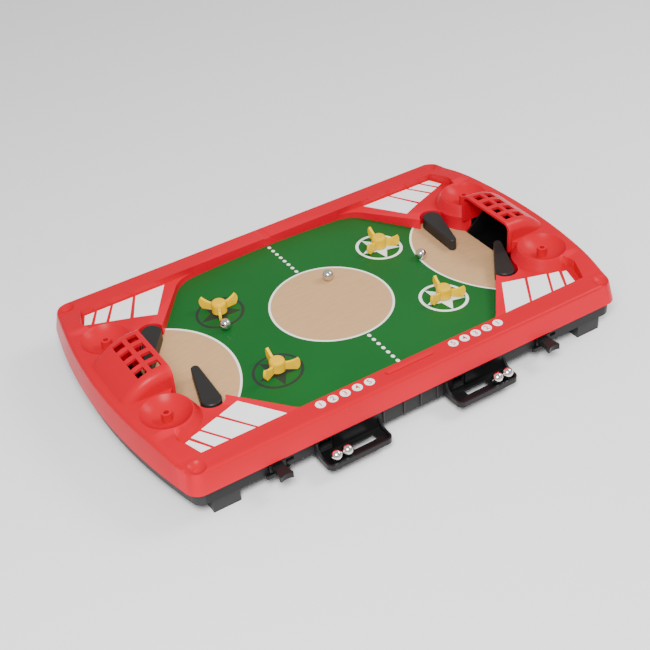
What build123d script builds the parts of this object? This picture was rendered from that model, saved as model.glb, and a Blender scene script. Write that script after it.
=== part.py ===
"""Two-player tabletop pinball football game: moulded shell, arched playfield, base and moving parts.

Millimetres. X runs along the game (goals at -X and +X), -Y is the side with the ball trays,
Z = 0 is the table top under the four corner legs.
"""
from build123d import *
import os
from math import acos, cos, radians, sin, sqrt

os.makedirs("parts", exist_ok=True)

# ---------------------------------------------------------------- playfield board
CROWN_Z = 40.0          # top of the board at the halfway line
ARCH_R = 1324.0         # the board is bent to this radius along X
BOARD_T = 3.0
BOARD_HALF_X = 190.0
BOARD_HALF_Y = 128.0

# ---------------------------------------------------------------- red shell
TOP_Z = 53.2            # flat top of the two end decks
RIM_Z = 49.8            # top of the long rims
RIM_SLOPE_Y = (85.0, 124.0)  # the deck curves down to the rim between these
RIM_ROUND = 3.6
SKIRT_Z = 28.4          # lower edge of the red skirt
SHELL_WALL = 2.5
SHELL_END_X = 247.5     # lower outline: middle of the curved end
SHELL_CORNER_X = 227.5  # lower outline: where the end meets the long side
SHELL_HALF_Y = 150.0
DRAFT_X = 4.0
DRAFT_Y = 5.0
CORNER_R = 14.0
WINDOW_HALF_Y = 124.0
PLATFORM_Z = 43.0
PLATFORM_T = 2.5
GAP = 0.1               # shell walls stop this far above the board

# ---------------------------------------------------------------- corner bowls
BOWL_X = 207.4
BOWL_Y = 63.3
BOWL_R = 23.5
BOWL_DEPTH = 10.5
LOBE_R = 30.5
LOBE_TOP_R = 24.3
BOSS_R = 4.8
BOSS_DROP = 1.1
SCREW_R = 1.3
SCREW_HEAD_R = 2.2
SCREW_HEAD_T = 1.6
SCREW_SINK = 7.0        # depth of the screw head inside its boss

# ---------------------------------------------------------------- goals
HOOD_FRONT_X = 186.0
HOOD_BACK_X = 235.0
HOOD_TOP_Z = 73.2
HOOD_HALF_Y = 38.5
HOOD_BACK_HALF_Y = 37.0
HOOD_WALL = 3.0
HOLLOW_BACK_X = 231.0   # inside of the hood at its low end
HOOD_ROUND = 9.0
GRID_HOLE = 9.5
GRID_PITCH_Y = 15.0
GRID_ROWS_X = (195.5, 209.5)
LINER_T = 2.0
LINER_BACK_X = 226.0
LINER_TOP_Z = 47.0

# ---------------------------------------------------------------- flippers and triggers
PIVOT_X = 163.4
PIVOT_Y = 60.3
FLIP_LEN = 47.0
FLIP_R = 9.6
FLIP_TIP_R = 4.0
FLIP_BOTTOM_Z = 31.75
FLIP_TOP_Z = 43.6
FLIP_BACK = 30.0        # lowered: swung this far towards the goal
FLIP_FORWARD = 10.0     # raised: swung this far towards the middle
SHAFT_R = 3.0
SHAFT_BOTTOM_Z = 17.2
RUN = 0.06              # radial running clearance
CRANK_R = 17.5
CRANK_T = 3.0
CRANK_TOP_Z = 25.2
CRANK_PIN_R = 2.0
PIN_CLEAR = 0.12
BAR_Z = 19.0
BAR_T = 2.8
BAR_W = 10.0
HANDLE_SHIFT = 19.6     # the finger handle sits this far nearer the middle than the crank pin
HANDLE_OUT = 19.6       # how far the finger handle reaches beyond the base
HANDLE_Z = 13.6
HANDLE_T = 12.9
GUIDE_Y = 102.0
GUIDE_W = 4.0

# ---------------------------------------------------------------- spinners
SPIN_X = 92.9
SPIN_Y = 55.4
SPIN_HUB_R = 7.4
SPIN_R = 21.0
SPIN_BOTTOM_Z = 38.7
SPIN_TOP_Z = 50.3
SPIN_PIN_R = 1.5
SPIN_TURN = {("l", "n"): 87.0, ("l", "f"): 6.0, ("r", "n"): 80.0, ("r", "f"): 85.0}

# ---------------------------------------------------------------- base
BASE_GAP = 4.0          # inset of the base from the lower edge of the skirt
BASE_WALL = 2.5
BASE_TOP_Z = 33.5
BASE_BOTTOM_Z = 14.0
BASE_FLOOR_T = 2.5
BASE_DEEP_Z = 10.0      # the middle of the base hangs lower
DEEP_X = (-112.0, 92.0)
LEG_X = 185.0
LEG_LEN = 26.0
LEG_W = 13.0
POST_R = 4.0

# ---------------------------------------------------------------- ball trays and balls
TRAY_SPANS = {"left": (-112.0, -46.0), "right": (25.0, 92.0)}
TRAY_OUT = 24.1
TRAY_FLOOR_Z = 12.5
TRAY_T = 2.0
TRAY_LIP_Z = 16.0
TRAY_WALL = 2.0
TRAY_BACK_Z = 28.0
TRAY_SLOT = 24.0
TRAY_SLOT_W = 7.0
OUTLET_W = 14.0
BALL_R = 5.5
BALL_GAP = 0.3

SIDES = {"l": -1, "r": 1}
ROWS = {"n": -1, "f": 1}


def arch_z(x):
    """Height of the board's top face at x."""
    return CROWN_Z - (ARCH_R - sqrt(ARCH_R * ARCH_R - x * x))


def outline(sketch, inset, draft):
    """Plan outline of the game: straight long sides, arched ends, rounded corners."""
    xe = SHELL_END_X - inset - draft * DRAFT_X
    xc = SHELL_CORNER_X - inset - draft * DRAFT_X
    yh = SHELL_HALF_Y - inset - draft * DRAFT_Y
    with BuildLine() as edge:
        Line((-xc, -yh), (xc, -yh))
        ThreePointArc((xc, -yh), (xe, 0), (xc, yh))
        Line((xc, yh), (-xc, yh))
        ThreePointArc((-xc, yh), (-xe, 0), (-xc, -yh))
    make_face(edge.edges())
    fillet(sketch.vertices(), CORNER_R - inset)


def window(grow):
    """Opening over the playfield, grown outwards by the given amount."""
    g = grow
    with BuildLine() as edge:
        Line((0, 0), (0, WINDOW_HALF_Y + g))
        Line((0, WINDOW_HALF_Y + g), (84, WINDOW_HALF_Y + g))
        ThreePointArc((84, WINDOW_HALF_Y + g), (102.5 + g, 119.5 + g), (114 + g, 108.5 + g))
        Line((114 + g, 108.5 + g), (150 + g, 63.5 + g))
        Line((150 + g, 63.5 + g), (HOOD_FRONT_X + 10, 63.5 + g))
        Line((HOOD_FRONT_X + 10, 63.5 + g), (HOOD_FRONT_X + 10, 0))
        Line((HOOD_FRONT_X + 10, 0), (0, 0))
    make_face(edge.edges())
    with Locations((PIVOT_X, PIVOT_Y)):
        Circle(FLIP_R + 3.2 + g)
    with Locations((BOWL_X, BOWL_Y)):
        Circle(LOBE_R - g, mode=Mode.SUBTRACT)
    mirror(about=Plane.YZ)
    mirror(about=Plane.XZ)


def arch_section(z_top, half_x, depth):
    """Section of the space under an arched line, down by the given depth."""
    drop = arch_z(0) - arch_z(half_x)
    with BuildLine() as edge:
        ThreePointArc((-half_x, z_top - drop), (0, z_top), (half_x, z_top - drop))
        Line((half_x, z_top - drop), (half_x, z_top - drop - depth))
        ThreePointArc((half_x, z_top - drop - depth), (0, z_top - depth), (-half_x, z_top - drop - depth))
        Line((-half_x, z_top - drop - depth), (-half_x, z_top - drop))
    make_face(edge.edges())


# ================================================================ playfield board
with BuildPart() as board:
    with BuildSketch(Plane.XZ):
        arch_section(CROWN_Z, BOARD_HALF_X, BOARD_T)
    extrude(amount=BOARD_HALF_Y, both=True)
    for sx in (-1, 1):
        for sy in (-1, 1):
            with Locations((sx * PIVOT_X, sy * PIVOT_Y, CROWN_Z - 15)):
                Cylinder(SHAFT_R + 0.5, 60, mode=Mode.SUBTRACT)
            with Locations((sx * SPIN_X, sy * SPIN_Y, CROWN_Z - 15)):
                Cylinder(SPIN_PIN_R + 0.02, 60, mode=Mode.SUBTRACT)
board.part.label = "playfield_board"
export_step(board.part, "parts/playfield_board.step")

# ================================================================ red shell
def hood_sides(half_front, half_back, x_back):
    """Plan of the goal hood, narrowing towards the end of the game."""
    with BuildLine() as edge:
        Polyline((HOOD_FRONT_X, -half_front), (x_back, -half_back), (x_back, half_back),
                 (HOOD_FRONT_X, half_front), close=True)
    make_face(edge.edges())


def above_roof(down, x_back):
    """Section of the space above the hood's roof line, lowered by the given amount."""
    x0 = HOOD_FRONT_X - 2
    top = HOOD_TOP_Z - down
    with BuildLine() as edge:
        Spline((x0, top), (x0 + 16, top - 0.8), (x0 + 28, top - 3.7), (x0 + 39, top - 9.7),
               (x_back, TOP_Z - 0.6 - down))
        Line((x_back, TOP_Z - 0.6 - down), (x_back, HOOD_TOP_Z + 5))
        Line((x_back, HOOD_TOP_Z + 5), (x0, HOOD_TOP_Z + 5))
        Line((x0, HOOD_TOP_Z + 5), (x0, top))
    make_face(edge.edges())


with BuildPart() as hood:
    with BuildSketch(Plane.XY.offset(PLATFORM_Z - 2)):
        hood_sides(HOOD_HALF_Y, HOOD_BACK_HALF_Y, HOOD_BACK_X)
    extrude(amount=HOOD_TOP_Z - PLATFORM_Z + 2)
    with BuildSketch(Plane.XZ):
        above_roof(0, HOOD_BACK_X)
    extrude(amount=HOOD_HALF_Y + 5, both=True, mode=Mode.SUBTRACT)
    fillet(hood.edges().filter_by(GeomType.LINE, reverse=True).group_by(Axis.Y)[-1], HOOD_ROUND)
    fillet(hood.edges().filter_by(GeomType.LINE, reverse=True).group_by(Axis.Y)[0], HOOD_ROUND)

with BuildPart() as hollow:
    with BuildSketch(Plane.XY.offset(SKIRT_Z - 10)):
        hood_sides(HOOD_HALF_Y - HOOD_WALL, HOOD_BACK_HALF_Y - HOOD_WALL, HOLLOW_BACK_X)
    extrude(amount=HOOD_TOP_Z - SKIRT_Z + 10)
    with BuildSketch(Plane.XZ):
        above_roof(HOOD_WALL, HOOD_BACK_X)
    extrude(amount=HOOD_HALF_Y + 5, both=True, mode=Mode.SUBTRACT)
    fillet(hollow.edges().filter_by(GeomType.LINE, reverse=True).group_by(Axis.Y)[-1], HOOD_ROUND - HOOD_WALL)
    fillet(hollow.edges().filter_by(GeomType.LINE, reverse=True).group_by(Axis.Y)[0], HOOD_ROUND - HOOD_WALL)

with BuildPart() as rims:
    # block of the two long rims, rounded all along the top edge
    with BuildSketch(Plane.XY.offset(SKIRT_Z)) as low:
        outline(low, 0, 0)
    with BuildSketch(Plane.XY.offset(TOP_Z)) as high:
        outline(high, 0, 1)
    loft(ruled=True)
    with Locations((0, 0, RIM_Z + 10)):
        Box(3 * SHELL_END_X, 3 * SHELL_END_X, 20, mode=Mode.SUBTRACT)
    fillet(rims.faces().sort_by(Axis.Z)[-1].edges(), RIM_ROUND)
    with Locations((0, 0, RIM_Z)):
        Box(3 * SHELL_END_X, 2 * RIM_SLOPE_Y[1], 200, mode=Mode.SUBTRACT)

with BuildPart() as shell:
    # outer block with sloping skirt, its deck falling to the long rims
    with BuildSketch(Plane.XY.offset(SKIRT_Z)) as low:
        outline(low, 0, 0)
    with BuildSketch(Plane.XY.offset(TOP_Z)) as high:
        outline(high, 0, 1)
    loft(ruled=True)
    with Locations((0, 0, RIM_Z)):
        Box(3 * SHELL_END_X, 2 * (RIM_SLOPE_Y[1] + 6), 200, mode=Mode.INTERSECT)
    run, drop = RIM_SLOPE_Y[1] - RIM_SLOPE_Y[0], TOP_Z - RIM_Z
    bend_r = (run * run + drop * drop) / (2 * drop)
    for sy in (-1, 1):
        y0 = sy * RIM_SLOPE_Y[0]
        bend = [(y0 + sy * k, TOP_Z - bend_r + sqrt(bend_r * bend_r - k * k)) for k in (run / 2, run + 10)]
        with BuildSketch(Plane.YZ):
            with BuildLine() as edge:
                ThreePointArc((y0, TOP_Z), bend[0], bend[1])
                Polyline(bend[1], (bend[1][0], TOP_Z + 5), (y0, TOP_Z + 5), (y0, TOP_Z))
            make_face(edge.edges())
        extrude(amount=SHELL_END_X + 5, both=True, mode=Mode.SUBTRACT)
    upper = shell.edges().filter_by(lambda e: e.center().Z > RIM_Z and abs(e.center().X) > 200)
    fillet(upper, RIM_ROUND)
    with Locations((0, 0, RIM_Z)):
        Box(3 * SHELL_END_X, 2 * RIM_SLOPE_Y[1], 200, mode=Mode.INTERSECT)
    add(rims.part)
    # hollow from below
    with BuildSketch(Plane.XY.offset(SKIRT_Z - 1)) as low:
        outline(low, SHELL_WALL, 0)
    with BuildSketch(Plane.XY.offset(PLATFORM_Z - PLATFORM_T)) as high:
        outline(high, SHELL_WALL, 0.5)
    loft(ruled=True, mode=Mode.SUBTRACT)
    # channel up inside each long rim
    for sy in (-1, 1):
        with Locations((0, sy * (WINDOW_HALF_Y + SHELL_WALL + 7.0), (PLATFORM_Z + RIM_Z) / 2 - 4)):
            Box(2 * SHELL_CORNER_X - 60, 14.0, RIM_Z - PLATFORM_Z + 3, mode=Mode.SUBTRACT)
    # wall down to the board all round the window
    with BuildSketch(Plane.XY.offset(PLATFORM_Z - PLATFORM_T)):
        window(SHELL_WALL)
    extrude(amount=PLATFORM_Z - PLATFORM_T - SKIRT_Z + 8, dir=(0, 0, -1))
    # corner platforms, a step below the rim
    with BuildSketch(Plane.XY.offset(PLATFORM_Z)):
        with BuildLine() as edge:
            Polyline((80, WINDOW_HALF_Y), (207, WINDOW_HALF_Y), (216, 101), (BOWL_X, BOWL_Y),
                     (HOOD_FRONT_X, 34), (150, 34), (110, 100), close=True)
        make_face(edge.edges())
        mirror(about=Plane.YZ)
        mirror(about=Plane.XZ)
    extrude(amount=TOP_Z, mode=Mode.SUBTRACT)
    # sloping shoulder round each bowl
    for sx in (-1, 1):
        for sy in (-1, 1):
            with Locations((sx * BOWL_X, sy * BOWL_Y, (PLATFORM_Z + TOP_Z) / 2)):
                Cone(LOBE_R, LOBE_TOP_R, TOP_Z - PLATFORM_Z)
    # the window itself
    with BuildSketch(Plane.XY.offset(SKIRT_Z - 20)):
        window(0)
    extrude(amount=TOP_Z, mode=Mode.SUBTRACT)
    # bowls with a screw boss in the middle
    ball = (BOWL_R * BOWL_R + BOWL_DEPTH * BOWL_DEPTH) / (2 * BOWL_DEPTH)
    for sx in (-1, 1):
        for sy in (-1, 1):
            with Locations((sx * BOWL_X, sy * BOWL_Y, TOP_Z - BOWL_DEPTH + ball)):
                Sphere(ball, mode=Mode.SUBTRACT)
            with Locations((sx * BOWL_X, sy * BOWL_Y, (TOP_Z - BOSS_DROP + BASE_BOTTOM_Z + 12) / 2)):
                Cylinder(BOSS_R, TOP_Z - BOSS_DROP - BASE_BOTTOM_Z - 12)
            with Locations((sx * BOWL_X, sy * BOWL_Y, CROWN_Z)):
                Cylinder(SCREW_R + RUN, 80, mode=Mode.SUBTRACT)
            with Locations((sx * BOWL_X, sy * BOWL_Y, TOP_Z)):
                Cylinder(SCREW_HEAD_R + 0.2, 2 * (BOSS_DROP + SCREW_SINK + SCREW_HEAD_T), mode=Mode.SUBTRACT)
    # goal hoods
    add(hood.part)
    add(mirror(hood.part, about=Plane.YZ, mode=Mode.PRIVATE))
    add(hollow.part, mode=Mode.SUBTRACT)
    add(mirror(hollow.part, about=Plane.YZ, mode=Mode.PRIVATE), mode=Mode.SUBTRACT)
    for sx in (-1, 1):
        for x in GRID_ROWS_X:
            for k in (-1.5, -0.5, 0.5, 1.5):
                with Locations((sx * x, k * GRID_PITCH_Y, HOOD_TOP_Z)):
                    Box(GRID_HOLE, GRID_HOLE, 24, mode=Mode.SUBTRACT)
    # thumb hollow on each corner of the rim
    for sx in (-1, 1):
        for sy in (-1, 1):
            with Locations((sx * 217.0, sy * 138.0, RIM_Z + 8.5)):
                Sphere(12, mode=Mode.SUBTRACT)
    # raised bar on the near rim, notch across the far rim
    with BuildSketch(Plane.XY.offset(RIM_Z - 0.5)):
        with Locations((0, -131.0)):
            SlotOverall(51.2, 4.4)
    extrude(amount=1.5)
    with Locations((1.0, 134.0, RIM_Z + 7.7)):
        Cylinder(9.0, 34.0, rotation=(90, 0, 0), mode=Mode.SUBTRACT)
    # seat on the arched board
    with BuildSketch(Plane.XZ):
        arch_section(CROWN_Z + GAP, BOARD_HALF_X + GAP, 40)
    extrude(amount=BOARD_HALF_Y + GAP, both=True, mode=Mode.SUBTRACT)
shell.part.label = "top_shell"
export_step(shell.part, "parts/top_shell.step")


# ================================================================ base
def deep_block(inset, z_bottom, height):
    """Lower middle part of the base."""
    with Locations(((DEEP_X[0] + DEEP_X[1]) / 2, 0, z_bottom + height / 2)):
        Box(DEEP_X[1] - DEEP_X[0] - 2 * inset, 2 * (SHELL_HALF_Y - BASE_GAP - inset), height,
            mode=Mode.ADD if inset == 0 else Mode.SUBTRACT)


FLOOR_Z = BASE_BOTTOM_Z + BASE_FLOOR_T
DEEP_FLOOR_Z = BASE_DEEP_Z + BASE_FLOOR_T
WALL_Y = SHELL_HALF_Y - BASE_GAP
CRANK_SWING = (FLIP_BACK + FLIP_FORWARD) / 2
PIN_TRAVEL = CRANK_R * sin(radians(CRANK_SWING))
HANDLE_X = PIVOT_X - HANDLE_SHIFT
SLOT_HALF = PIN_TRAVEL + BAR_W / 2 + 0.6

with BuildPart() as base:
    with BuildSketch(Plane.XY.offset(BASE_BOTTOM_Z)) as plan:
        outline(plan, BASE_GAP, 0)
    extrude(amount=BASE_TOP_Z - BASE_BOTTOM_Z)
    deep_block(0, BASE_DEEP_Z, FLOOR_Z - BASE_DEEP_Z)
    fillet(base.edges().filter_by(Axis.Y).group_by(Axis.Z)[0], 1.5)
    with BuildSketch(Plane.XY.offset(FLOOR_Z)) as plan:
        outline(plan, BASE_GAP + BASE_WALL, 0)
    extrude(amount=BASE_TOP_Z, mode=Mode.SUBTRACT)
    deep_block(BASE_WALL, DEEP_FLOOR_Z, FLOOR_Z - DEEP_FLOOR_Z + 1)
    for sx in (-1, 1):
        for sy in (-1, 1):
            # corner legs
            with Locations((sx * (LEG_X + LEG_LEN / 2), sy * (WALL_Y - LEG_W / 2 - 1), BASE_BOTTOM_Z / 2)):
                Box(LEG_LEN, LEG_W, BASE_BOTTOM_Z)
            # socket for the foot of the flipper shaft
            with Locations((sx * PIVOT_X, sy * PIVOT_Y, FLOOR_Z + 2.0)):
                Cylinder(SHAFT_R + 3.0, 4.0)
            with Locations((sx * PIVOT_X, sy * PIVOT_Y, SHAFT_BOTTOM_Z - 0.2 + 10)):
                Cylinder(SHAFT_R + RUN, 20, mode=Mode.SUBTRACT)
            # screw boss under each bowl
            with Locations((sx * BOWL_X, sy * BOWL_Y, (FLOOR_Z + BASE_BOTTOM_Z + 12) / 2)):
                Cylinder(BOSS_R + 0.8, BASE_BOTTOM_Z + 12 - FLOOR_Z)
            with Locations((sx * BOWL_X, sy * BOWL_Y, FLOOR_Z + 1 + 10)):
                Cylinder(SCREW_R, 20, mode=Mode.SUBTRACT)
            # guide rib for the trigger bar
            with Locations((sx * PIVOT_X, sy * GUIDE_Y, (FLOOR_Z + BAR_Z + 1.2) / 2)):
                Box(46, GUIDE_W, BAR_Z + 1.2 - FLOOR_Z)
            # slot where the trigger bar comes out
            with Locations((sx * HANDLE_X, sy * WALL_Y, BAR_Z + BAR_T / 2)):
                Box(2 * SLOT_HALF, 4 * BASE_WALL, BAR_T + 0.8, mode=Mode.SUBTRACT)
    # posts under the board, topped by the same curve as its lower face
    for x, y in ((0, 118), (60, 118), (125, 118), (40, 0), (120, 0), (178, 0)):
        for sx in (-1, 1):
            for sy in (-1, 1):
                if (x > 0 or sx > 0) and (y > 0 or sy > 0):
                    foot = BASE_DEEP_Z + 1 if DEEP_X[0] < sx * x < DEEP_X[1] else BASE_BOTTOM_Z + 1
                    with Locations((sx * x, sy * y, (foot + arch_z(x)) / 2)):
                        Cylinder(POST_R, arch_z(x) - foot)
    with BuildSketch(Plane.XZ):
        arch_section(CROWN_Z + 5, BOARD_HALF_X, BOARD_T + 5)
    extrude(amount=WALL_Y - BASE_WALL - 3, both=True, mode=Mode.SUBTRACT)
    # upright ribs on the near face
    for x in (-50, -40, -18, 0, 18):
        with Locations((x, -WALL_Y - 0.5, (BASE_DEEP_Z + SKIRT_Z) / 2)):
            Box(1.6, 1.4, SKIRT_Z - BASE_DEEP_Z - 2)
    # outlets over the ball trays
    for name, (x0, x1) in TRAY_SPANS.items():
        x = x0 + TRAY_WALL + 1.5 + OUTLET_W / 2 if name == "left" else x0 + TRAY_WALL + 6 + OUTLET_W / 2
        with Locations((x, -WALL_Y, TRAY_FLOOR_Z + OUTLET_W / 2 + 1.0)):
            Box(OUTLET_W, 4 * BASE_WALL, OUTLET_W - 1.0, mode=Mode.SUBTRACT)
base.part.label = "base_tray"
export_step(base.part, "parts/base_tray.step")

# ================================================================ black goal liners
for end, sx in SIDES.items():
    with BuildPart() as liner:
        front = BOARD_HALF_X + 0.5
        half_f = HOOD_HALF_Y - HOOD_WALL - 0.3
        slope = (HOOD_HALF_Y - HOOD_BACK_HALF_Y) / (HOLLOW_BACK_X - HOOD_FRONT_X)
        half_b = half_f - slope * (LINER_BACK_X - HOOD_FRONT_X)
        half_f = half_f - slope * (front - HOOD_FRONT_X)
        with BuildSketch(Plane.XY.offset(FLOOR_Z)):
            with BuildLine() as edge:
                Polyline((sx * front, -half_f), (sx * LINER_BACK_X, -half_b), (sx * LINER_BACK_X, half_b),
                         (sx * front, half_f), close=True)
            make_face(edge.edges())
        extrude(amount=LINER_TOP_Z - FLOOR_Z)
        with BuildSketch(Plane.XY.offset(FLOOR_Z + LINER_T)):
            with BuildLine() as edge:
                Polyline((sx * (front - 1), -half_f + LINER_T), (sx * (LINER_BACK_X - LINER_T), -half_b + LINER_T),
                         (sx * (LINER_BACK_X - LINER_T), half_b - LINER_T), (sx * (front - 1), half_f - LINER_T),
                         close=True)
            make_face(edge.edges())
        extrude(amount=50.0, mode=Mode.SUBTRACT)
        with BuildSketch(Plane.XZ):
            with BuildLine() as edge:
                Polyline((sx * (front - 1), arch_z(BOARD_HALF_X) + 1), (sx * (front + 20), LINER_TOP_Z),
                         (sx * (front + 20), 60), (sx * (front - 1), 60), close=True)
            make_face(edge.edges())
        extrude(amount=HOOD_HALF_Y, both=True, mode=Mode.SUBTRACT)
    name = "goal_liner_" + end
    liner.part.label = name
    export_step(liner.part, "parts/" + name + ".step")

# ================================================================ ball trays on the near side
for side, (x0, x1) in TRAY_SPANS.items():
    xm = (x0 + x1) / 2
    width = x1 - x0
    y0 = -WALL_Y - 1.4
    with BuildPart() as tray:
        with BuildSketch(Plane.XY.offset(TRAY_FLOOR_Z - TRAY_T)) as plan:
            with Locations((xm, y0 - TRAY_OUT / 2)):
                Rectangle(width, TRAY_OUT)
            fillet(plan.vertices().group_by(Axis.Y)[0], 6)
        extrude(amount=TRAY_LIP_Z - TRAY_FLOOR_Z + TRAY_T)
        with BuildSketch(Plane.XY.offset(TRAY_FLOOR_Z)) as plan:
            with Locations((xm, y0 - TRAY_OUT / 2 + TRAY_WALL / 2)):
                Rectangle(width - 2 * TRAY_WALL, TRAY_OUT - TRAY_WALL)
            fillet(plan.vertices().group_by(Axis.Y)[0], 6 - TRAY_WALL)
        extrude(amount=10, mode=Mode.SUBTRACT)
        # plate against the base, as tall as the gap under the skirt
        with Locations((xm, y0 + TRAY_WALL / 2 - TRAY_WALL, (TRAY_FLOOR_Z - TRAY_T + TRAY_BACK_Z) / 2)):
            Box(width, TRAY_WALL, TRAY_BACK_Z - TRAY_FLOOR_Z + TRAY_T)
        # side walls sweep up to the tall back plate
        with BuildSketch(Plane.YZ.offset(x0)):
            with BuildLine() as edge:
                Line((y0, TRAY_LIP_Z - 1), (y0, TRAY_BACK_Z))
                Line((y0, TRAY_BACK_Z), (y0 - TRAY_WALL, TRAY_BACK_Z))
                ThreePointArc((y0 - TRAY_WALL, TRAY_BACK_Z), (y0 - 5.5, TRAY_LIP_Z + 3.2), (y0 - 15, TRAY_LIP_Z))
                Line((y0 - 15, TRAY_LIP_Z), (y0 - 15, TRAY_LIP_Z - 1))
                Line((y0 - 15, TRAY_LIP_Z - 1), (y0, TRAY_LIP_Z - 1))
            make_face(edge.edges())
        extrude(amount=TRAY_WALL)
        with BuildSketch(Plane.YZ.offset(x1 - TRAY_WALL)):
            with BuildLine() as edge:
                Line((y0, TRAY_LIP_Z - 1), (y0, TRAY_BACK_Z))
                Line((y0, TRAY_BACK_Z), (y0 - TRAY_WALL, TRAY_BACK_Z))
                ThreePointArc((y0 - TRAY_WALL, TRAY_BACK_Z), (y0 - 5.5, TRAY_LIP_Z + 3.2), (y0 - 15, TRAY_LIP_Z))
                Line((y0 - 15, TRAY_LIP_Z), (y0 - 15, TRAY_LIP_Z - 1))
                Line((y0 - 15, TRAY_LIP_Z - 1), (y0, TRAY_LIP_Z - 1))
            make_face(edge.edges())
        extrude(amount=TRAY_WALL)
        # ears running back to the base wall
        for x in (x0 + TRAY_WALL / 2, x1 - TRAY_WALL / 2):
            with Locations((x, (y0 - WALL_Y) / 2, (TRAY_FLOOR_Z + TRAY_BACK_Z) / 2 - 4)):
                Box(TRAY_WALL, -WALL_Y - y0, TRAY_BACK_Z - TRAY_FLOOR_Z - 4)
        x = x0 + TRAY_WALL + 1.5 + OUTLET_W / 2 if side == "left" else x0 + TRAY_WALL + 6 + OUTLET_W / 2
        with Locations((x, y0 - TRAY_WALL / 2, TRAY_FLOOR_Z + OUTLET_W / 2)):
            Box(OUTLET_W, 4 * TRAY_WALL, OUTLET_W, mode=Mode.SUBTRACT)
        slot_x = xm + 10.0 if side == "left" else xm - 5.0
        with BuildSketch(Plane.XY.offset(TRAY_FLOOR_Z)) as cut:
            with Locations((slot_x, y0 - TRAY_OUT + 14.0)):
                Rectangle(TRAY_SLOT, TRAY_SLOT_W)
            fillet(cut.vertices(), 0.8)
        extrude(amount=12, both=True, mode=Mode.SUBTRACT)
    name = "ball_tray_" + side
    tray.part.label = name
    export_step(tray.part, "parts/" + name + ".step")

# ================================================================ balls
BALLS = {"play_ball_1": (-100.5, 29.0), "play_ball_2": (17.5, 33.5), "play_ball_3": (115.8, 14.0)}
for name, (x, y) in BALLS.items():
    with BuildPart() as ball_part:
        with Locations((x, y, arch_z(abs(x)) + 0.05 + BALL_GAP + BALL_R)):
            Sphere(BALL_R)
    ball_part.part.label = name
    export_step(ball_part.part, "parts/" + name + ".step")
TRAY_BALL_Y = -WALL_Y - 1.4 - TRAY_OUT + TRAY_WALL + BALL_R + BALL_GAP
for side, (x0, x1) in TRAY_SPANS.items():
    for k in (1, 2):
        start = 11.5 if side == "left" else 8.0
        run = start + (k - 1) * (2 * BALL_R + BALL_GAP)
        x = x0 + run if side == "left" else x1 - run
        with BuildPart() as ball_part:
            with Locations((x, TRAY_BALL_Y, TRAY_FLOOR_Z + BALL_GAP + BALL_R)):
                Sphere(BALL_R)
        name = "tray_ball_" + side + "_" + str(k)
        ball_part.part.label = name
        export_step(ball_part.part, "parts/" + name + ".step")

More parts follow.
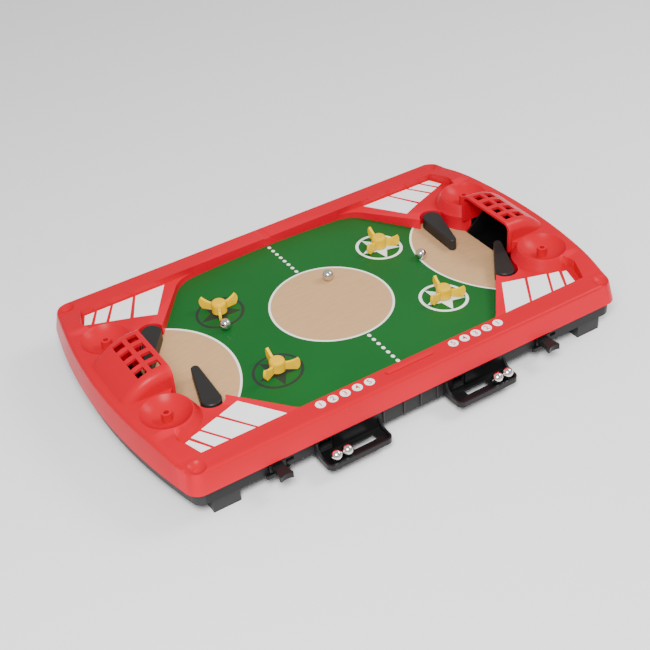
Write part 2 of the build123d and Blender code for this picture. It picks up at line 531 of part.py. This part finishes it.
# ================================================================ flippers, cranks and triggers
for end, sx in SIDES.items():
    for row, sy in ROWS.items():
        raised = (end, row) in (("l", "n"), ("r", "f"))
        # angle of the blade in a corner with both axes pointing outwards
        blade = -90 - FLIP_FORWARD if raised else -90 + FLIP_BACK
        arm = blade + 180 - CRANK_SWING + FLIP_FORWARD
        ux, uy = cos(radians(blade)), sin(radians(blade))
        axis_x, axis_y = sx * PIVOT_X, sy * PIVOT_Y
        tangent = acos((FLIP_R - FLIP_TIP_R) / FLIP_LEN)
        pts = []
        for r, c, a in ((FLIP_R, 0, tangent), (FLIP_TIP_R, FLIP_LEN, tangent),
                        (FLIP_TIP_R, FLIP_LEN, -tangent), (FLIP_R, 0, -tangent)):
            px, py = c + r * cos(a), r * sin(a)
            pts.append((axis_x + sx * (px * ux - py * uy), axis_y + sy * (px * uy + py * ux)))
        with BuildPart() as flipper:
            with BuildSketch(Plane.XY.offset(FLIP_BOTTOM_Z)):
                with BuildLine() as edge:
                    Polyline(*pts, close=True)
                make_face(edge.edges())
                with Locations((axis_x, axis_y)):
                    Circle(FLIP_R)
                with Locations((axis_x + sx * FLIP_LEN * ux, axis_y + sy * FLIP_LEN * uy)):
                    Circle(FLIP_TIP_R)
            extrude(amount=FLIP_TOP_Z - FLIP_BOTTOM_Z)
            chamfer(flipper.faces().sort_by(Axis.Z)[-1].edges(), 0.8)
            with Locations((axis_x, axis_y, (FLIP_BOTTOM_Z + SHAFT_BOTTOM_Z) / 2)):
                Cylinder(SHAFT_R, FLIP_BOTTOM_Z - SHAFT_BOTTOM_Z)
        name = "flipper_" + end + row
        flipper.part.label = name
        export_step(flipper.part, "parts/" + name + ".step")

        pin_x = axis_x + sx * CRANK_R * cos(radians(arm))
        pin_y = axis_y + sy * CRANK_R * sin(radians(arm))
        with BuildPart() as crank:
            with BuildSketch(Plane.XY.offset(CRANK_TOP_Z - CRANK_T)):
                with Locations((axis_x, axis_y)):
                    Circle(SHAFT_R + 3.0)
                with Locations((pin_x, pin_y)):
                    Circle(CRANK_PIN_R + 1.6)
                with Locations(((axis_x + pin_x) / 2, (axis_y + pin_y) / 2)):
                    Rectangle(CRANK_R, 6.0, rotation=sx * sy * arm)
                with Locations((axis_x, axis_y)):
                    Circle(SHAFT_R + 0.02, mode=Mode.SUBTRACT)
            extrude(amount=CRANK_T)
            with Locations((pin_x, pin_y, (CRANK_TOP_Z - CRANK_T + BAR_Z) / 2)):
                Cylinder(CRANK_PIN_R, CRANK_TOP_Z - CRANK_T - BAR_Z)
        name = "crank_" + end + row
        crank.part.label = name
        export_step(crank.part, "parts/" + name + ".step")

        handle_x = pin_x - sx * HANDLE_SHIFT
        slot_mid = CRANK_R * (1 + cos(radians(CRANK_SWING))) / 2
        with BuildPart() as trigger:
            with BuildSketch(Plane.XY.offset(BAR_Z)):
                with Locations((pin_x, sy * (PIVOT_Y + slot_mid + 2.5))):
                    Rectangle(13.0, 15.0)
                with Locations((pin_x, sy * (PIVOT_Y + slot_mid + 30.0))):
                    Rectangle(BAR_W, 54.0)
                with Locations(((pin_x + handle_x) / 2, sy * (PIVOT_Y + slot_mid + 52.0))):
                    Rectangle(HANDLE_SHIFT + BAR_W, BAR_W)
                with Locations((handle_x, sy * (PIVOT_Y + slot_mid + 47.0 + WALL_Y + 1) / 2)):
                    Rectangle(BAR_W, WALL_Y + 1 - PIVOT_Y - slot_mid - 47.0)
                with Locations((pin_x, sy * (PIVOT_Y + slot_mid))):
                    Rectangle(2 * (CRANK_PIN_R + PIN_CLEAR), 2 * CRANK_PIN_R + 2.4, mode=Mode.SUBTRACT)
            extrude(amount=BAR_T)
            with Locations((pin_x, sy * GUIDE_Y, BAR_Z)):
                Box(30, GUIDE_W + 0.3, 2 * 1.3, mode=Mode.SUBTRACT)
            # plate that slides along the base wall, with a wider foot
            y_in = sy * (WALL_Y + 0.8)
            with Locations((handle_x, y_in + sy * 1.3, HANDLE_Z + HANDLE_T / 2)):
                Box(16.0, 2.6, HANDLE_T)
            with BuildSketch(Plane.XY.offset(HANDLE_Z)) as foot:
                with Locations((handle_x, y_in + sy * 2.0)):
                    Rectangle(23.4, 4.0)
                fillet(foot.vertices(), 1.6)
            extrude(amount=3.6)
            # finger grip, hollowed in front, with flared tips
            with BuildSketch(Plane.XY.offset(BAR_Z)) as grip:
                y_out = sy * (WALL_Y + HANDLE_OUT)
                with BuildLine() as edge:
                    Line((handle_x - 6.0, y_in), (handle_x + 6.0, y_in))
                    ThreePointArc((handle_x + 6.0, y_in), (handle_x + 4.8, y_in + sy * 8), (handle_x + 6.6, y_out - sy * 2))
                    Line((handle_x + 6.6, y_out - sy * 2), (handle_x + 6.0, y_out))
                    ThreePointArc((handle_x + 6.0, y_out), (handle_x, y_out - sy * 1.6), (handle_x - 6.0, y_out))
                    Line((handle_x - 6.0, y_out), (handle_x - 6.6, y_out - sy * 2))
                    ThreePointArc((handle_x - 6.6, y_out - sy * 2), (handle_x - 4.8, y_in + sy * 8), (handle_x - 6.0, y_in))
                make_face(edge.edges())
            extrude(amount=5.5)
        name = "trigger_" + end + row
        trigger.part.label = name
        export_step(trigger.part, "parts/" + name + ".step")

# ================================================================ spinners on their pins
with BuildPart() as pins:
    for sx in (-1, 1):
        for sy in (-1, 1):
            low = arch_z(SPIN_X) - BOARD_T - 0.5
            with Locations((sx * SPIN_X, sy * SPIN_Y, (low + SPIN_TOP_Z - 3.4) / 2)):
                Cylinder(SPIN_PIN_R, SPIN_TOP_Z - 3.4 - low)
            with Locations((sx * SPIN_X, sy * SPIN_Y, (arch_z(SPIN_X - 4) + 0.05 + SPIN_BOTTOM_Z - 0.1) / 2)):
                Cylinder(3.2, SPIN_BOTTOM_Z - 0.1 - arch_z(SPIN_X - 4) - 0.05)
pins.part.label = "spinner_pins"
export_step(pins.part, "parts/spinner_pins.step")

for end, sx in SIDES.items():
    for row, sy in ROWS.items():
        with BuildPart() as spinner:
            height = SPIN_TOP_Z - SPIN_BOTTOM_Z
            with Locations((sx * SPIN_X, sy * SPIN_Y, SPIN_BOTTOM_Z + height / 2)):
                Cylinder(SPIN_HUB_R, height)
            fillet(spinner.edges().group_by(Axis.Z)[-1], 3.0)
            turn = SPIN_TURN[(end, row)]
            for k in range(3):
                a = turn + 120 * k
                face = Plane(origin=(sx * SPIN_X, sy * SPIN_Y, SPIN_BOTTOM_Z),
                             x_dir=(cos(radians(a)), sin(radians(a)), 0),
                             z_dir=(sin(radians(a)), -cos(radians(a)), 0))
                with BuildSketch(face):
                    with BuildLine() as edge:
                        Line((3.0, 0.6), (SPIN_R - 3, 0.0))
                        ThreePointArc((SPIN_R - 3, 0.0), (SPIN_R, 6.0), (SPIN_R - 2, 12.0))
                        ThreePointArc((SPIN_R - 2, 12.0), (SPIN_R - 7, 9.2), (3.0, 8.0))
                        Line((3.0, 8.0), (3.0, 0.6))
                    make_face(edge.edges())
                extrude(amount=1.3, both=True)
            with Locations((sx * SPIN_X, sy * SPIN_Y, SPIN_BOTTOM_Z)):
                Cylinder(SPIN_PIN_R + RUN, 2 * (height - 3.2), mode=Mode.SUBTRACT)
        name = "spinner_" + end + row
        spinner.part.label = name
        export_step(spinner.part, "parts/" + name + ".step")

# ================================================================ screws, decals
with BuildPart() as screws:
    head_z = TOP_Z - BOSS_DROP - SCREW_SINK - SCREW_HEAD_T
    for sx in (-1, 1):
        for sy in (-1, 1):
            with Locations((sx * BOWL_X, sy * BOWL_Y, head_z + SCREW_HEAD_T / 2)):
                Cylinder(SCREW_HEAD_R, SCREW_HEAD_T)
                Box(2.8, 0.8, SCREW_HEAD_T + 1, mode=Mode.SUBTRACT)
                Box(0.8, 2.8, SCREW_HEAD_T + 1, mode=Mode.SUBTRACT)
            with Locations((sx * BOWL_X, sy * BOWL_Y, (head_z + FLOOR_Z + 2.5) / 2)):
                Cylinder(SCREW_R, head_z - FLOOR_Z - 2.5)
screws.part.label = "shell_screws"
export_step(screws.part, "parts/shell_screws.step")

FAR_PANELS = (((119.0, 122.3), (150.5, 122.3), (167.0, 91.0), (146.5, 81.8)),
              ((153.5, 122.3), (174.5, 122.3), (188.8, 99.5), (170.5, 92.3)),
              ((177.5, 122.3), (191.5, 122.3), (202.0, 104.6), (191.8, 100.8)),
              ((194.5, 122.3), (204.5, 122.3), (211.0, 108.4), (205.0, 106.0)))
NEAR_PANELS = (((116.0, 122.3), (144.6, 122.3), (168.1, 84.5), (146.3, 77.2)),
               ((147.3, 122.3), (170.8, 122.3), (189.4, 91.5), (171.0, 85.4)),
               ((173.6, 122.3), (187.6, 122.3), (201.5, 95.6), (191.6, 92.8)),
               ((190.4, 122.3), (201.4, 122.3), (208.4, 99.0), (204.2, 97.6)))
for end, sx in SIDES.items():
    for row, sy in ROWS.items():
        with BuildPart() as decal:
            with BuildSketch(Plane.XY.offset(PLATFORM_Z)):
                for quad in (NEAR_PANELS if row == "n" else FAR_PANELS):
                    with BuildLine() as edge:
                        Polyline(*[(sx * x, sy * y) for x, y in quad], close=True)
                    make_face(edge.edges())
            extrude(amount=0.2, dir=(0, 0, 1))
        name = "panel_decal_" + end + row
        decal.part.label = name
        export_step(decal.part, "parts/" + name + ".step")

for side, x0 in (("left", -94.0), ("right", 47.2)):
    with BuildPart() as discs:
        with BuildSketch(Plane.XY.offset(RIM_Z)):
            with Locations([(x0 + 12.6 * k, -131.6) for k in range(5)]):
                Circle(4.7)
        extrude(amount=0.2)
    name = "number_discs_" + side
    discs.part.label = name
    export_step(discs.part, "parts/" + name + ".step")
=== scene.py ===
import math

import bpy
from mathutils import Matrix, Vector


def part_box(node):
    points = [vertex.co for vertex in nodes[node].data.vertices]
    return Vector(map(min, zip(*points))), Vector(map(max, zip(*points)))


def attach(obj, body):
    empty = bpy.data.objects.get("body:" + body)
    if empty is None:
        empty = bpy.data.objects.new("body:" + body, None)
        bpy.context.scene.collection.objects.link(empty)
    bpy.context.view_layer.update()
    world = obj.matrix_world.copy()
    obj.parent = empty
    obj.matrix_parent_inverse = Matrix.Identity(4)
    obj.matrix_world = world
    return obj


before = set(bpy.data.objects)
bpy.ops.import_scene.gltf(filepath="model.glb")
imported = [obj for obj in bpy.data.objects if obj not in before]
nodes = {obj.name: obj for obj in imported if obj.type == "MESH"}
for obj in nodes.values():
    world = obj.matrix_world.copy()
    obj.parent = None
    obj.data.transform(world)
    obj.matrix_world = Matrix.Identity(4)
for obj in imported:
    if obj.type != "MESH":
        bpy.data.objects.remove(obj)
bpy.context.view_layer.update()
ENDS = {"l": -1, "r": 1}
ROWS = {"n": -1, "f": 1}

# ---------------------------------------------------------------------------
# Red shell. One large injection moulding in glossy red plastic: rim, skirt, corner
# platforms, bowls and goal hoods in one piece, screwed down through the bowls.
# The mould leaves a very fine orange-peel on the surface; its edges carry a painted highlight that makes them
# slightly lighter.


def new_group(name, inputs, outputs):
    """An empty shader node group with float or colour sockets."""
    group = bpy.data.node_groups.new(name, "ShaderNodeTree")
    for label, kind, value in inputs:
        socket = group.interface.new_socket(label, in_out="INPUT", socket_type=kind)
        socket.default_value = value
    for label, kind in outputs:
        group.interface.new_socket(label, in_out="OUTPUT", socket_type=kind)
    return group, group.nodes.new("NodeGroupInput"), group.nodes.new("NodeGroupOutput")


def node(tree, kind, **settings):
    made = tree.nodes.new(kind)
    for key, value in settings.items():
        setattr(made, key, value)
    return made


def math_node(tree, operation, a, b=None, c=None, clamp=False):
    """A Math node; each operand is a number or an output socket."""
    made = node(tree, "ShaderNodeMath", operation=operation, use_clamp=clamp)
    for index, operand in enumerate((a, b, c)):
        if operand is None:
            continue
        if isinstance(operand, (int, float)):
            made.inputs[index].default_value = operand
        else:
            tree.links.new(operand, made.inputs[index])
    return made.outputs[0]


def mix_colour(tree, factor, a, b):
    made = node(tree, "ShaderNodeMix", data_type="RGBA")
    for socket, operand in ((made.inputs[0], factor), (made.inputs[6], a), (made.inputs[7], b)):
        if isinstance(operand, (int, float, tuple)):
            socket.default_value = operand
        else:
            tree.links.new(operand, socket)
    return made.outputs[2]


def moulded_grain_and_edge_highlight():
    """Fine unevenness of an injection moulding: tone, gloss and surface height, and a convex-edge mask for a
    painted highlight.
    """
    group, entry, leave = new_group(
        "moulded_grain_and_edge_highlight",
        [("Grain size", "NodeSocketFloat", 900.0), ("Mottle", "NodeSocketFloat", 0.05),
         ("Roughness", "NodeSocketFloat", 0.3)],
        [("Tone", "NodeSocketFloat"), ("Roughness", "NodeSocketFloat"), ("Height", "NodeSocketFloat"),
         ("Edge highlight", "NodeSocketFloat")])
    place = node(group, "ShaderNodeTexCoord").outputs["Object"]
    fine = node(group, "ShaderNodeTexNoise")
    fine.inputs["Detail"].default_value = 3.0
    broad = node(group, "ShaderNodeTexNoise")
    broad.inputs["Scale"].default_value = 22.0
    broad.inputs["Detail"].default_value = 2.0
    group.links.new(place, fine.inputs["Vector"])
    group.links.new(entry.outputs["Grain size"], fine.inputs["Scale"])
    group.links.new(place, broad.inputs["Vector"])
    swing = math_node(group, "SUBTRACT", broad.outputs["Fac"], 0.5)
    tone = math_node(group, "MULTIPLY_ADD", swing, entry.outputs["Mottle"], 1.0)
    group.links.new(tone, leave.inputs["Tone"])
    spread = math_node(group, "MULTIPLY", math_node(group, "SUBTRACT", fine.outputs["Fac"], 0.5), 0.08)
    sway = math_node(group, "MULTIPLY_ADD", swing, 0.14, spread)
    group.links.new(math_node(group, "ADD", entry.outputs["Roughness"], sway, clamp=True),
                    leave.inputs["Roughness"])
    group.links.new(fine.outputs["Fac"], leave.inputs["Height"])
    # Painted highlight: convex edges (high pointiness) are marked so their colour is lifted, as if catching
    # the light.
    pointy = node(group, "ShaderNodeNewGeometry").outputs["Pointiness"]
    edge = node(group, "ShaderNodeMapRange")
    edge.inputs["From Min"].default_value = 0.53
    edge.inputs["From Max"].default_value = 0.62
    group.links.new(pointy, edge.inputs["Value"])
    group.links.new(edge.outputs["Result"], leave.inputs["Edge highlight"])
    return group


MOULDED = moulded_grain_and_edge_highlight()


def moulded_plastic(name, colour, roughness, edge_highlight_colour, grain=900.0, mottle=0.06, bump=0.02,
                    specular=0.5):
    """Moulded plastic: body colour with mottle, a painted highlight on the edges, uneven gloss and fine
    orange-peel.
    """
    material = bpy.data.materials.new(name)
    material.use_nodes = True
    tree = material.node_tree
    shader = tree.nodes["Principled BSDF"]
    finish = node(tree, "ShaderNodeGroup", node_tree=MOULDED)
    finish.inputs["Grain size"].default_value = grain
    finish.inputs["Mottle"].default_value = mottle
    finish.inputs["Roughness"].default_value = roughness
    # Painted highlight: the body colour is blended towards a lighter edge colour on convex edges.
    highlighted = mix_colour(tree, finish.outputs["Edge highlight"], (*colour, 1.0), (*edge_highlight_colour, 1.0))
    toned = node(tree, "ShaderNodeVectorMath", operation="SCALE")
    tree.links.new(highlighted, toned.inputs[0])
    tree.links.new(finish.outputs["Tone"], toned.inputs["Scale"])
    tree.links.new(toned.outputs[0], shader.inputs["Base Color"])
    tree.links.new(finish.outputs["Roughness"], shader.inputs["Roughness"])
    peel = node(tree, "ShaderNodeBump")
    peel.inputs["Strength"].default_value = bump
    peel.inputs["Distance"].default_value = 0.0004
    tree.links.new(finish.outputs["Height"], peel.inputs["Height"])
    tree.links.new(peel.outputs["Normal"], shader.inputs["Normal"])
    shader.inputs["Specular IOR Level"].default_value = specular
    return material


def dress(name, material, bevel=0.0):
    """Gives a CAD node its finish and, where asked, softened edges."""
    piece = nodes[name]
    piece.data.materials.clear()
    piece.data.materials.append(material)
    if bevel:
        soft = piece.modifiers.new("soft_edges", "BEVEL")
        soft.width = bevel
        soft.segments = 2
        soft.limit_method = "ANGLE"
        soft.angle_limit = math.radians(30)
        soft.harden_normals = False
    return piece


# Second colour: lighter red of the painted edge highlight.
red_plastic = moulded_plastic("shell_red_plastic", (0.54, 0.0, 0.014), 0.30, (0.66, 0.001, 0.022),
                              mottle=0.05, bump=0.03, specular=0.10)
dress("top_shell", red_plastic, bevel=0.0008)

# ---------------------------------------------------------------------------
# Base. Dark grey moulded tray screwed under the shell; its side wall shows below the skirt,
# with corner legs and upright ribs. Matt, with a painted highlight that makes the edges slightly lighter.

base_plastic = moulded_plastic("base_grey_plastic", (0.018, 0.018, 0.019), 0.5, (0.035, 0.035, 0.035),
                               grain=1400.0, bump=0.08, specular=0.2)
dress("base_tray", base_plastic, bevel=0.0004)

# ---------------------------------------------------------------------------
# Playfield. Thin bent board with the pitch printed on it: green field, sand-coloured circles
# in the bare wood tone, white lines, a ring with a star round each spinner, lacquered.

CIRCLE_R = 0.0610
AREA_X = 0.2049
AREA_R = 0.0924
LINE_W = 0.0021
SPINNER_X = 0.0929
SPINNER_Y = 0.0554
RING_R = 0.0241
RING_W = 0.0030
STAR_TIP_R = 0.0215
STAR_ROOT_R = 0.0095
STAR_TURN = math.radians(-102)
DASH_PITCH = 0.0077
DASH_R = 0.0018


def printed_board():
    material = bpy.data.materials.new("printed_playfield")
    material.use_nodes = True
    tree = material.node_tree
    shader = tree.nodes["Principled BSDF"]
    place = node(tree, "ShaderNodeTexCoord").outputs["Object"]
    split = node(tree, "ShaderNodeSeparateXYZ")
    tree.links.new(place, split.inputs[0])
    x, y, z = split.outputs

    def m(operation, a, b=None, c=None, clamp=False):
        return math_node(tree, operation, a, b, c, clamp)

    def below(value, limit, soft=0.00025):
        """1 where value is under limit, with a soft printed edge."""
        return m("MULTIPLY_ADD", m("SUBTRACT", limit, value), 1.0 / soft, 0.5, clamp=True)

    def radius(cx, cy, xs=x, ys=y):
        dx = m("SUBTRACT", xs, cx)
        dy = m("SUBTRACT", ys, cy)
        return m("SQRT", m("ADD", m("MULTIPLY", dx, dx), m("MULTIPLY", dy, dy)))

    def band(value, middle, width):
        return below(m("ABSOLUTE", m("SUBTRACT", value, middle)), width / 2)

    ax = m("ABSOLUTE", x)
    ay = m("ABSOLUTE", y)
    centre = radius(0.0, 0.0)
    area = radius(AREA_X, 0.0, xs=ax)
    sand = m("MAXIMUM", below(centre, CIRCLE_R), below(area, AREA_R))
    lines = m("MAXIMUM", band(centre, CIRCLE_R - LINE_W / 2, LINE_W), band(area, AREA_R - LINE_W / 2, LINE_W))
    # dotted halfway line outside the circle
    step = m("ABSOLUTE", m("SUBTRACT", m("FRACT", m("DIVIDE", ay, DASH_PITCH)), 0.5))
    along = m("MULTIPLY", step, DASH_PITCH / 1.25)
    dash = below(m("SQRT", m("ADD", m("MULTIPLY", along, along), m("MULTIPLY", ax, ax))), DASH_R)
    dash = m("MULTIPLY", dash, below(CIRCLE_R, centre))
    lines = m("MAXIMUM", lines, dash)
    # ring and five-pointed star round each spinner
    dx = m("SUBTRACT", x, m("MULTIPLY", m("SIGN", x), SPINNER_X))
    dy = m("SUBTRACT", y, m("MULTIPLY", m("SIGN", y), SPINNER_Y))
    away = m("SQRT", m("ADD", m("MULTIPLY", dx, dx), m("MULTIPLY", dy, dy)))
    turn = m("DIVIDE", m("SUBTRACT", m("ARCTAN2", dy, dx), STAR_TURN - math.pi / 5), 2 * math.pi / 5)
    inside = m("MULTIPLY", m("SUBTRACT", m("FRACT", m("ADD", turn, 10.0)), 0.5), 2 * math.pi / 5)
    inside = m("ABSOLUTE", inside)
    px = m("MULTIPLY", away, m("COSINE", inside))
    py = m("MULTIPLY", away, m("SINE", inside))
    rx = STAR_ROOT_R * math.cos(math.pi / 5)
    ry = STAR_ROOT_R * math.sin(math.pi / 5)
    length = math.hypot(STAR_TIP_R - rx, ry)
    nx, ny = ry / length, (STAR_TIP_R - rx) / length
    star = below(m("ADD", m("MULTIPLY", px, nx), m("MULTIPLY", py, ny)), STAR_TIP_R * nx)
    emblem = m("MAXIMUM", star, band(away, RING_R - RING_W / 2, RING_W))

    # tones: printed green with faint mottle, wood fibres under the sand print
    grain = node(tree, "ShaderNodeTexNoise")
    grain.inputs["Scale"].default_value = 60.0
    grain.inputs["Detail"].default_value = 6.0
    stretch = node(tree, "ShaderNodeVectorMath", operation="MULTIPLY")
    stretch.inputs[1].default_value = (1.0, 7.0, 1.0)
    tree.links.new(place, stretch.inputs[0])
    tree.links.new(stretch.outputs[0], grain.inputs["Vector"])
    cloud = node(tree, "ShaderNodeTexNoise")
    cloud.inputs["Scale"].default_value = 9.0
    cloud.inputs["Detail"].default_value = 3.0
    tree.links.new(place, cloud.inputs["Vector"])
    sand_tone = mix_colour(tree, grain.outputs["Fac"], (0.46, 0.255, 0.115, 1), (0.62, 0.38, 0.19, 1))
    sand_tone = mix_colour(tree, m("MULTIPLY", cloud.outputs["Fac"], 0.5), sand_tone, (0.50, 0.31, 0.165, 1))
    green = mix_colour(tree, cloud.outputs["Fac"], (0.006, 0.088, 0.014, 1), (0.010, 0.112, 0.021, 1))
    colour = mix_colour(tree, sand, green, sand_tone)
    dark_side = below(x, 0.0)
    emblem_tone = mix_colour(tree, dark_side, (0.86, 0.90, 0.84, 1), (0.022, 0.035, 0.024, 1))
    colour = mix_colour(tree, emblem, colour, emblem_tone)
    colour = mix_colour(tree, lines, colour, (0.86, 0.90, 0.80, 1))
    # the print is only on the upper face; cut edges and the underside are bare wood
    up = node(tree, "ShaderNodeSeparateXYZ")
    tree.links.new(node(tree, "ShaderNodeNewGeometry").outputs["Normal"], up.inputs[0])
    top = below(0.5, up.outputs[2], 0.1)
    colour = mix_colour(tree, top, sand_tone, colour)
    tree.links.new(colour, shader.inputs["Base Color"])
    shader.inputs["Specular IOR Level"].default_value = 0.15
    gloss = m("MULTIPLY_ADD", cloud.outputs["Fac"], 0.12, 0.40)
    tree.links.new(m("ADD", gloss, m("MULTIPLY", sand, 0.12)), shader.inputs["Roughness"])
    weave = node(tree, "ShaderNodeBump")
    weave.inputs["Strength"].default_value = 0.05
    weave.inputs["Distance"].default_value = 0.0003
    tree.links.new(grain.outputs["Fac"], weave.inputs["Height"])
    tree.links.new(weave.outputs["Normal"], shader.inputs["Normal"])
    return material


dress("playfield_board", printed_board())

# ---------------------------------------------------------------------------
# Goal liners and ball trays. Black satin mouldings: a chute under each goal hood and two
# shallow trays on the near side with a finger slot through the floor.

# Second colour: lighter black of the painted edge highlight.
black_plastic = moulded_plastic("black_satin_plastic", (0.004, 0.004, 0.0045), 0.34, (0.012, 0.012, 0.012),
                                grain=1200.0, bump=0.05, specular=0.2)
for end in ENDS:
    dress("goal_liner_" + end, black_plastic)
for side in ("left", "right"):
    dress("ball_tray_" + side, black_plastic, bevel=0.0004)

# ---------------------------------------------------------------------------
# Flippers, cranks and triggers. Dark grey flipper blades over the board, each on a shaft with
# a crank under it; black sliding triggers reach out under the long rims.

# Second colour: lighter grey of the painted edge highlight.
flipper_plastic = moulded_plastic("flipper_dark_plastic", (0.018, 0.0165, 0.0155), 0.42,
                                  (0.03, 0.03, 0.027), grain=1500.0, bump=0.05, specular=0.2)
for end in ENDS:
    for row in ROWS:
        dress("flipper_" + end + row, flipper_plastic, bevel=0.0007)
        dress("crank_" + end + row, black_plastic)
        dress("trigger_" + end + row, black_plastic, bevel=0.0005)

# ---------------------------------------------------------------------------
# Spinners. Bright yellow mouldings with three flared blades round a domed hub, each turning
# on a steel pin pressed into the board.

# Second colour: brighter yellow of the painted edge highlight.
spinner_plastic = moulded_plastic("spinner_yellow_plastic", (0.78, 0.46, 0.0), 0.33,
                                  (0.90, 0.56, 0.0), mottle=0.08, bump=0.03, specular=0.12)
for end in ENDS:
    for row in ROWS:
        dress("spinner_" + end + row, spinner_plastic, bevel=0.0006)

# ---------------------------------------------------------------------------
# Steel parts. Polished ball bearings on the field and in the trays, spinner pins, and the
# screws that hold the shell down through the bowls.


def polished_steel():
    material = bpy.data.materials.new("polished_steel")
    material.use_nodes = True
    tree = material.node_tree
    shader = tree.nodes["Principled BSDF"]
    shader.inputs["Metallic"].default_value = 1.0
    place = node(tree, "ShaderNodeTexCoord").outputs["Object"]
    smear = node(tree, "ShaderNodeTexNoise")
    smear.inputs["Scale"].default_value = 260.0
    smear.inputs["Detail"].default_value = 4.0
    tree.links.new(place, smear.inputs["Vector"])
    tree.links.new(mix_colour(tree, smear.outputs["Fac"], (0.62, 0.61, 0.59, 1), (0.80, 0.79, 0.77, 1)),
                   shader.inputs["Base Color"])
    gloss = math_node(tree, "MULTIPLY_ADD", smear.outputs["Fac"], 0.10, 0.06)
    tree.links.new(gloss, shader.inputs["Roughness"])
    return material


steel = polished_steel()
for name in nodes:
    if name.startswith(("play_ball", "tray_ball")):
        dress(name, steel)
for name in ("spinner_pins", "shell_screws"):
    dress(name, steel)

# ---------------------------------------------------------------------------
# Printed decals. White panels on the corner platforms and ten white score discs on the near
# rim, five for each player, printed in thin film.

# Second colour: brighter white of the painted edge highlight.
white_film = moulded_plastic("white_film", (0.93, 0.93, 0.93), 0.38, (0.96, 0.96, 0.96),
                             grain=700.0, bump=0.01)
for end in ENDS:
    for row in ROWS:
        dress("panel_decal_" + end + row, white_film)
for side in ("left", "right"):
    dress("number_discs_" + side, white_film)

# Second colour: brighter red of the painted edge highlight.
digit_ink = moulded_plastic("red_digit_ink", (0.80, 0.004, 0.02), 0.45, (0.84, 0.01, 0.03),
                            grain=700.0, bump=0.0)
for side, order in (("left", "12345"), ("right", "54321")):
    low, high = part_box("number_discs_" + side)
    disc = (high.y - low.y) / 2
    pitch = (high.x - low.x - 2 * disc) / 4
    for place, digit in enumerate(order):
        curve = bpy.data.curves.new("score_digit_" + side + "_" + digit, "FONT")
        curve.body = digit
        curve.size = 0.0082
        curve.align_x = "CENTER"
        curve.align_y = "CENTER"
        curve.offset = 0.00012
        ink = bpy.data.objects.new(curve.name, curve)
        bpy.context.scene.collection.objects.link(ink)
        curve.materials.append(digit_ink)
        ink.location = (low.x + disc + place * pitch, (low.y + high.y) / 2, high.z + 0.00005)
        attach(ink, "game")

# ---------------------------------------------------------------------------
# Stage. A plain pale floor, soft daylight and a camera at the height of a standing player.

bpy.ops.mesh.primitive_plane_add(size=12)
floor = bpy.context.object
floor.name = "floor"
floor_paint = bpy.data.materials.new("pale_floor")
floor_paint.use_nodes = True
floor_shader = floor_paint.node_tree.nodes["Principled BSDF"]
floor_shader.inputs["Base Color"].default_value = (0.93, 0.93, 0.93, 1)
floor_shader.inputs["Roughness"].default_value = 0.9
floor.data.materials.append(floor_paint)

world = bpy.data.worlds.new("studio")
bpy.context.scene.world = world
world.use_nodes = True
world.node_tree.nodes["Background"].inputs["Color"].default_value = (1, 1, 1, 1)
world.node_tree.nodes["Background"].inputs["Strength"].default_value = 0.62


def soft_box(name, place, aim, size, power):
    """A square studio light."""
    data = bpy.data.lights.new(name, "AREA")
    data.size = size
    data.energy = power
    lamp = bpy.data.objects.new(name, data)
    bpy.context.scene.collection.objects.link(lamp)
    lamp.location = place
    lamp.rotation_euler = (Vector(aim) - Vector(place)).to_track_quat("-Z", "Y").to_euler()
    return lamp


soft_box("key_light", (-0.6, -0.9, 1.3), (0, 0, 0), 0.6, 38)
soft_box("side_light", (1.2, -0.3, 1.2), (0, 0, 0), 0.6, 14)

AZIMUTH = math.radians(-29.403)
ELEVATION = math.radians(36.951)
ROLL = math.radians(-4.670)
DISTANCE = 1.1688
AIM = Vector((-0.0244, -0.0271, 0.0400))
LENS = 68.865

back = Vector((math.sin(AZIMUTH) * math.cos(ELEVATION), -math.cos(AZIMUTH) * math.cos(ELEVATION),
               math.sin(ELEVATION)))
right = Vector((math.cos(AZIMUTH), math.sin(AZIMUTH), 0))
up = back.cross(right)
rolled_right = math.cos(ROLL) * right + math.sin(ROLL) * up
rolled_up = -math.sin(ROLL) * right + math.cos(ROLL) * up
camera_data = bpy.data.cameras.new("view")
camera_data.sensor_width = 36
camera_data.lens = LENS
camera_data.clip_start = 0.01
camera_data.clip_end = 50
camera = bpy.data.objects.new("view", camera_data)
bpy.context.scene.collection.objects.link(camera)
spot = AIM + back * DISTANCE
camera.matrix_world = Matrix(((rolled_right.x, rolled_up.x, back.x, spot.x),
                              (rolled_right.y, rolled_up.y, back.y, spot.y),
                              (rolled_right.z, rolled_up.z, back.z, spot.z),
                              (0, 0, 0, 1)))
bpy.context.scene.camera = camera
